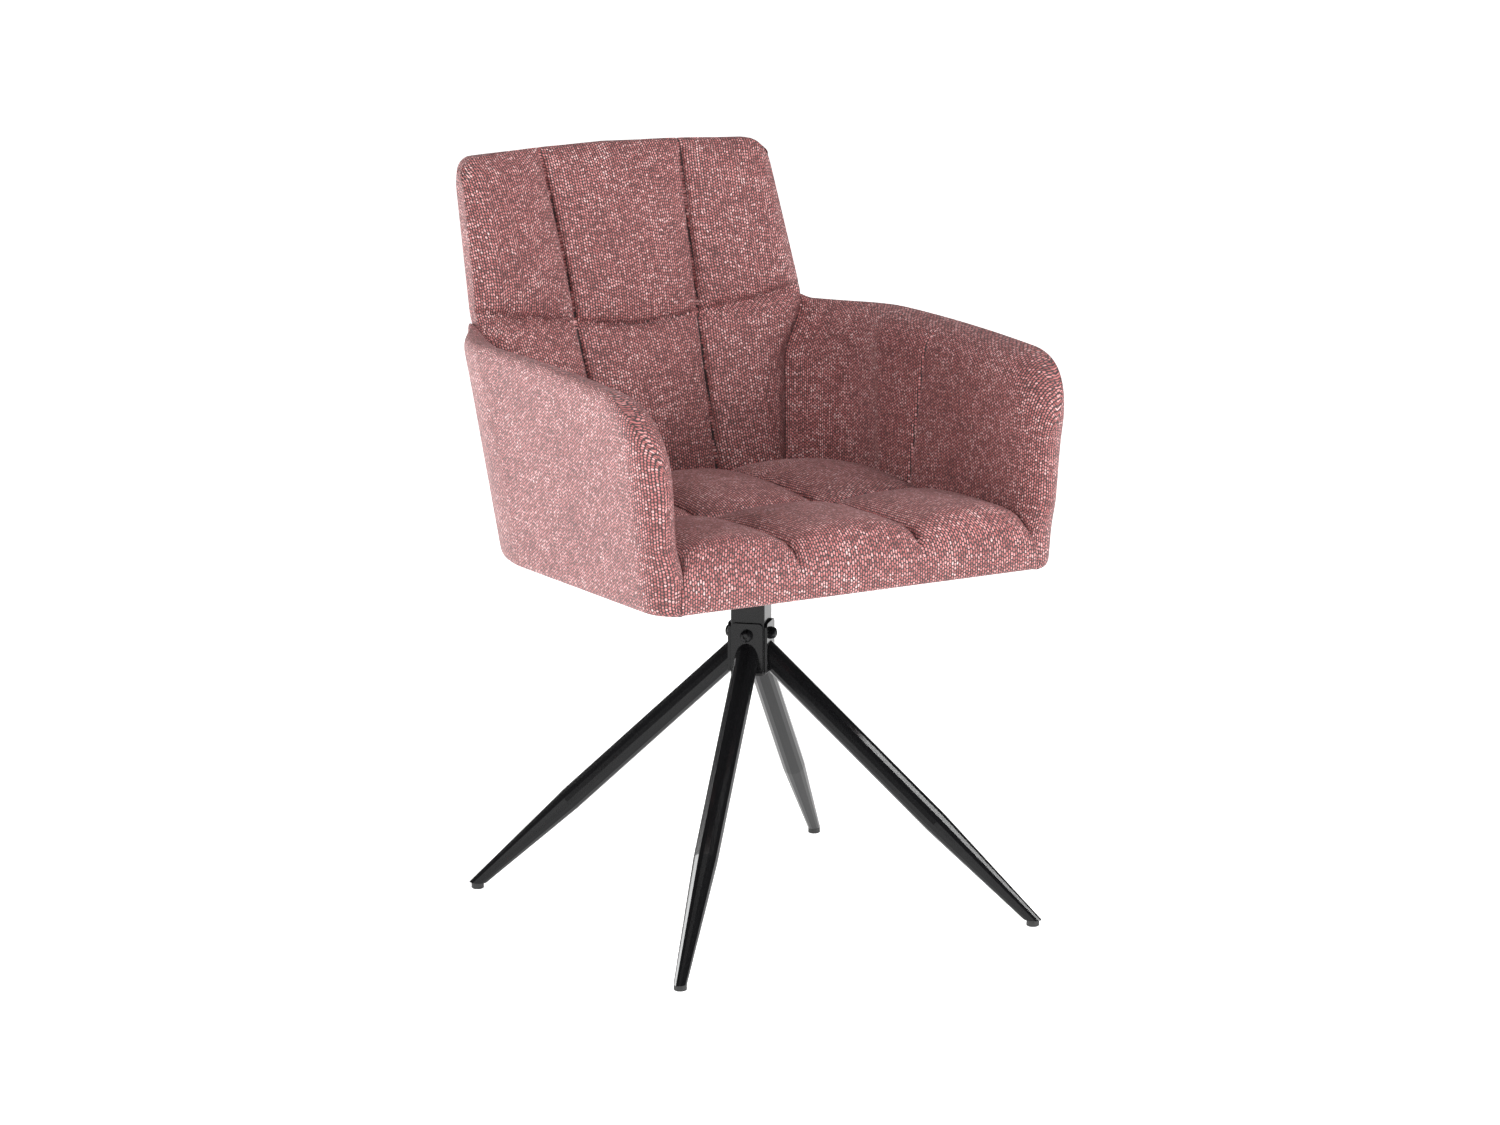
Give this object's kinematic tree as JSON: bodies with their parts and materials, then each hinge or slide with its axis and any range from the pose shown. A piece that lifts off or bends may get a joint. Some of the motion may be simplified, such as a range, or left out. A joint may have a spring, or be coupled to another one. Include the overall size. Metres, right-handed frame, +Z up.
{
  "type": "upholstered swivel armchair",
  "caption": "Upholstered tub armchair in a heathered dusty-rose weave, with a quilted seat and back, arms that wrap the corners and slim splayed black metal legs under a swivel.",
  "frame": {"origin": "middle of the chair's footprint box, at floor level", "axes": "+Z up, the chair faces -Y, and +X points to the right of someone looking at its front"},
  "size_m": [0.5776, 0.5964, 0.864],
  "materials": {
    "fabric": "chunky heathered dusty-rose weave, matt with a soft sheen",
    "black_steel": "glossy black powder coat",
    "zinc_steel": "bright zinc plating",
    "black_plastic": "moulded, fine grain",
    "nylon": "natural off-white",
    "plywood": "raw birch plywood",
    "felt": "thin non-woven dust cloth"
  },
  "bodies": {
    "base": {"leg_rear_right": "black_steel", "glide_rear_right": "black_plastic", "bracket_rear_right": "black_steel", "bracket_bolt_rear_right": "black_steel", "bracket_washer_rear_right": "black_steel", "weld_nut_rear_right": "zinc_steel", "leg_rear_left": "black_steel", "glide_rear_left": "black_plastic", "bracket_rear_left": "black_steel", "bracket_bolt_rear_left": "black_steel", "bracket_washer_rear_left": "black_steel", "weld_nut_rear_left": "zinc_steel", "leg_front_left": "black_steel", "glide_front_left": "black_plastic", "bracket_front_left": "black_steel", "bracket_bolt_front_left": "black_steel", "bracket_washer_front_left": "black_steel", "weld_nut_front_left": "zinc_steel", "leg_front_right": "black_steel", "glide_front_right": "black_plastic", "bracket_front_right": "black_steel", "bracket_bolt_front_right": "black_steel", "bracket_washer_front_right": "black_steel", "weld_nut_front_right": "zinc_steel", "column": "black_steel", "upper_bush": "nylon", "lower_bush": "nylon", "column_plug": "black_plastic", "thrust_washer": "zinc_steel"},
    "seat": {"spindle": "black_steel", "retaining_washer": "zinc_steel", "retaining_screw": "zinc_steel", "top_plate": "black_steel", "arm_cover_right": "fabric", "arm_board_right": "plywood", "arm_pad_right": "fabric", "arm_cover_left": "fabric", "arm_board_left": "plywood", "arm_pad_left": "fabric", "back_cover": "fabric", "back_board": "plywood", "back_pad": "fabric", "seat_board": "plywood", "seat_cushion": "fabric", "front_band": "fabric", "dust_cover": "felt", "arm_screw_right_front": "zinc_steel", "arm_screw_right_rear": "zinc_steel", "back_screw_right": "zinc_steel", "arm_screw_left_front": "zinc_steel", "arm_screw_left_rear": "zinc_steel", "back_screw_left": "zinc_steel", "plate_bolt_rear_left": "zinc_steel", "tee_nut_rear_left": "zinc_steel", "plate_bolt_rear_right": "zinc_steel", "tee_nut_rear_right": "zinc_steel", "plate_bolt_front_left": "zinc_steel", "tee_nut_front_left": "zinc_steel", "plate_bolt_front_right": "zinc_steel", "tee_nut_front_right": "zinc_steel"}
  },
  "joints": [
    {"name": "seat_swivel", "type": "hinge", "parent": "base", "child": "seat", "pos_m": [0, -0.05385, 0], "axis": [0, 0, 1], "continuous": true}
  ]
}
